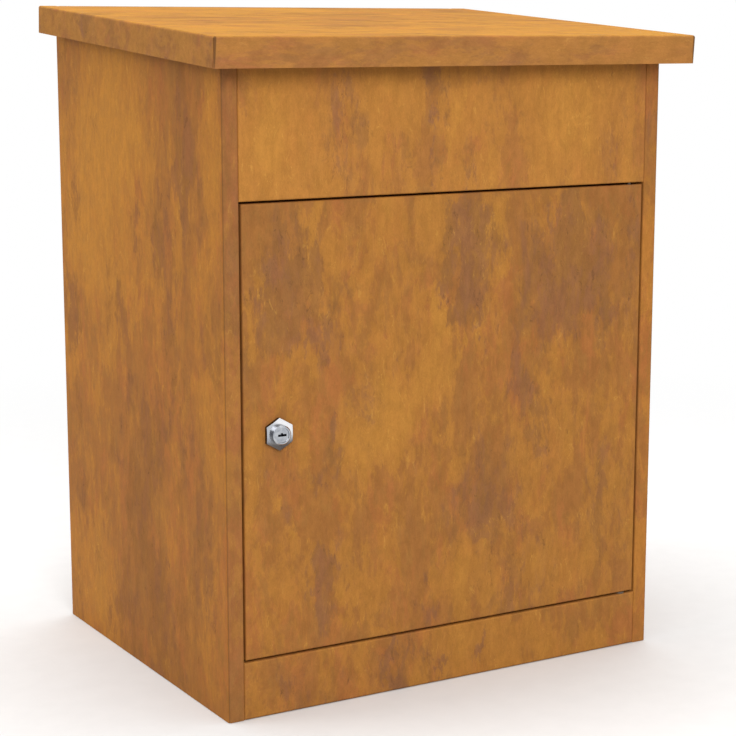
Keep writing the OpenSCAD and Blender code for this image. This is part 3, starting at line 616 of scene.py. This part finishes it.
def dress_body():
    """The sheets: each has a seed of its own, so no two show the same pattern."""
    left_corner = upright_line("left_side_panel", -1)
    right_corner = upright_line("right_side_panel", 1)
    lid_corners = [upright_line("lid_cover", -1), upright_line("lid_cover", 1)]
    # The left side's front fold, the right side's front fold, the upper panel and the lid carry tints of
    # painted light and shade, and the lid a painted sheen
    left = rust("rust_left", 1.0, tint=SIDE_TINT, dark=SIDE_DARK, bright=SIDE_BRIGHT,
                painted_light_tints=[(FRONT, FOLD_SHADE_TINT)], corner_lines=[(left_corner, BODY_CORNER_LINE)])
    right = rust("rust_right", 2.0, painted_light_tints=[(FRONT, RIGHT_FOLD_LIGHT_TINT)], corner_lines=[(right_corner, BODY_CORNER_LINE)])
    back = rust("rust_back", 3.0)
    floor = rust("rust_floor", 4.0, "x")
    upper = rust("rust_upper", 5.0, tint=UPPER_LIGHT_TINT, dark=UPPER_DARK, bright=UPPER_BRIGHT, amber=UPPER_AMBER,
                 calm=UPPER_CALM)
    lower = rust("rust_lower", 6.0, dark=LOWER_DARK)
    door = rust("rust_door", 7.0, dark=DOOR_DARK, bright=DOOR_BRIGHT)
    lid = rust("rust_lid", 8.0, "x", tint=LID_SHEEN_TINT, amber=LID_AMBER, gloss=LID_GLOSS,
               painted_light_tints=[(TOP, LID_TOP_LIGHT_TINT), (LEFT, LID_SIDE_SHADE_TINT)],
               corner_lines=[(corner, LID_SEAM_SHADE) for corner in lid_corners])
    tray = rust("rust_tray", 9.0, "x")
    for material, name in ((left, "left_side_panel"), (right, "right_side_panel"), (back, "back_panel"),
                           (floor, "floor_panel"), (upper, "upper_front_panel"), (lower, "lower_front_panel"),
                           (door, "door_panel"), (lid, "lid_cover"), (tray, "drop_tray")):
        paint(material, name)


def dress_fittings():
    """The lock, the hinges, the fasteners and the buffers."""
    paint(oiled_steel(), "door_pin_top", "door_pin_bottom")
    paint(zinc(), "left_tray_stop", "right_tray_stop", "hinge_fixed_leaf", "hinge_moving_leaf",
          "lid_hinge_pin", "hinge_rivets", "tray_rivets", "lock_nut", "lock_cam", "cam_screw")
    low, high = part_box("lock_housing")
    paint(chrome("chrome_housing", (low + high) / 2), "lock_housing")
    paint(chrome("chrome_plate"), "lock_plug")
    paint(nylon(), "door_bush_top", "door_bush_bottom", "door_washer")
    paint(rubber(), "lid_bumpers", "door_bumpers")


# Camera: the photograph's place and direction, without its lens shift. Metres, degrees and millimetres.
CAMERA_PLACE = (-0.9023, -1.5618, 0.5852)
CAMERA_HEADING = 30.29
CAMERA_PITCH = 10.11
CAMERA_LENS = 92.79
SENSOR = 36.0
CLIP_START = 0.05
CLIP_END = 60.0


def make_camera():
    camera = bpy.data.objects.new("camera", bpy.data.cameras.new("camera"))
    bpy.context.scene.collection.objects.link(camera)
    camera.data.sensor_width = SENSOR
    camera.data.lens = CAMERA_LENS
    camera.data.clip_start = CLIP_START
    camera.data.clip_end = CLIP_END
    camera.location = CAMERA_PLACE
    tilt = math.radians(90.0 - CAMERA_PITCH)
    camera.rotation_euler = Euler((tilt, 0.0, math.radians(-CAMERA_HEADING)), "XYZ")
    bpy.context.scene.camera = camera


# Light
SKY_LEVEL = 0.62
SKY_COLOUR = (1.0, 0.99, 0.975)
BACKDROP_LEVEL = 1.0
# Lamps that all face the middle of the box: (name, place, width in metres, watts)
LAMPS = [
    ("overhead", (0.2, 0.2, 2.9), 2.2, 50.0),
    ("front_left", (-0.9, -2.6, 1.7), 1.6, 40.0),
    ("left_rear", (-2.4, 0.9, 1.5), 1.4, 18.0),
]


def seen_directly(tree):
    """1 for camera, glossy and transmission rays, 0 for the rays that light surfaces."""
    path = tree.nodes.new("ShaderNodeLightPath")
    total = path.outputs["Is Camera Ray"]
    for name in ("Is Glossy Ray", "Is Transmission Ray"):
        add = tree.nodes.new("ShaderNodeMath")
        add.operation = "MAXIMUM"
        tree.links.new(total, add.inputs[0])
        tree.links.new(path.outputs[name], add.inputs[1])
        total = add.outputs[0]
    return total


def glow(tree, kind, colour, level):
    """A background or emission shader of one even colour."""
    node = tree.nodes.new(kind)
    node.inputs["Color"].default_value = (*colour, 1.0)
    node.inputs["Strength"].default_value = level
    return node.outputs[0]


def blended(tree, factor, first, second, surface):
    """Links a mix of two shaders to an output's surface."""
    mix = tree.nodes.new("ShaderNodeMixShader")
    for source, socket in zip((factor, first, second), mix.inputs):
        tree.links.new(source, socket)
    tree.links.new(mix.outputs[0], surface)


def make_world():
    """White where it is seen or mirrored, and a soft even light elsewhere."""
    world = bpy.data.worlds.new("studio")
    bpy.context.scene.world = world
    world.use_nodes = True
    tree = world.node_tree
    tree.nodes.clear()
    light = glow(tree, "ShaderNodeBackground", SKY_COLOUR, SKY_LEVEL)
    white = glow(tree, "ShaderNodeBackground", WHITE, BACKDROP_LEVEL)
    output = tree.nodes.new("ShaderNodeOutputWorld")
    blended(tree, seen_directly(tree), light, white, output.inputs["Surface"])


def make_lamps():
    """Round area lamps, turned towards the middle of the box."""
    middle = (cad_box[0] + cad_box[1]) / 2
    for name, place, width, watts in LAMPS:
        lamp = bpy.data.lights.new(name, "AREA")
        lamp.shape = "DISK"
        lamp.size = width
        lamp.energy = watts
        body = bpy.data.objects.new(name, lamp)
        bpy.context.scene.collection.objects.link(body)
        body.location = place
        body.rotation_euler = (middle - Vector(place)).to_track_quat("-Z", "Y").to_euler()


# The floor, in metres: half its width, how far it lies under the foot, and where it fades into the white
FLOOR_HALF = 12.0
FLOOR_DROP = 0.0004
FLOOR_FADE = (0.55, 1.6)
# Its colour where it is seen and where it lights other surfaces, and how much its grain darkens it
FLOOR_COLOUR = (0.84, 0.84, 0.84)
FLOOR_BOUNCE = (0.52, 0.52, 0.52)
FLOOR_GRAIN = 0.02


def floor_material():
    """Pale paint that fades into an even white further out, where it is seen directly."""
    g = Graph("floor_paint")
    grain = g.noise(g.position, scale=40.0, detail=5.0, roughness=0.6)
    pale = g.mix(seen_directly(g.tree), FLOOR_BOUNCE, FLOOR_COLOUR)
    tone = g.mix(g.step(grain, 0.3, 0.7, 0.0, FLOOR_GRAIN), pale, BLACK)
    g.finish(Base_Color=tone, Roughness=0.9, Specular_IOR_Level=0.1)
    far = g.times(g.step(g.vector("LENGTH", g.position), *FLOOR_FADE), seen_directly(g.tree))
    white = glow(g.tree, "ShaderNodeEmission", WHITE, BACKDROP_LEVEL)
    blended(g.tree, far, g.shader.outputs["BSDF"], white, g.output.inputs["Surface"])
    return g.material


def make_floor():
    """A pale floor that keeps the object's shadow and fades into the white backdrop further out."""
    mesh = bpy.data.meshes.new("floor")
    shape = bmesh.new()
    height = cad_box[0].z - FLOOR_DROP
    corners = [(-1, -1), (1, -1), (1, 1), (-1, 1)]
    shape.faces.new([shape.verts.new((x * FLOOR_HALF, y * FLOOR_HALF, height)) for x, y in corners])
    shape.to_mesh(mesh)
    shape.free()
    floor = bpy.data.objects.new("floor", mesh)
    bpy.context.scene.collection.objects.link(floor)
    mesh.materials.append(floor_material())


dress_body()
dress_fittings()
make_camera()
make_world()
make_lamps()
make_floor()
bpy.context.scene.view_settings.view_transform = "Standard"
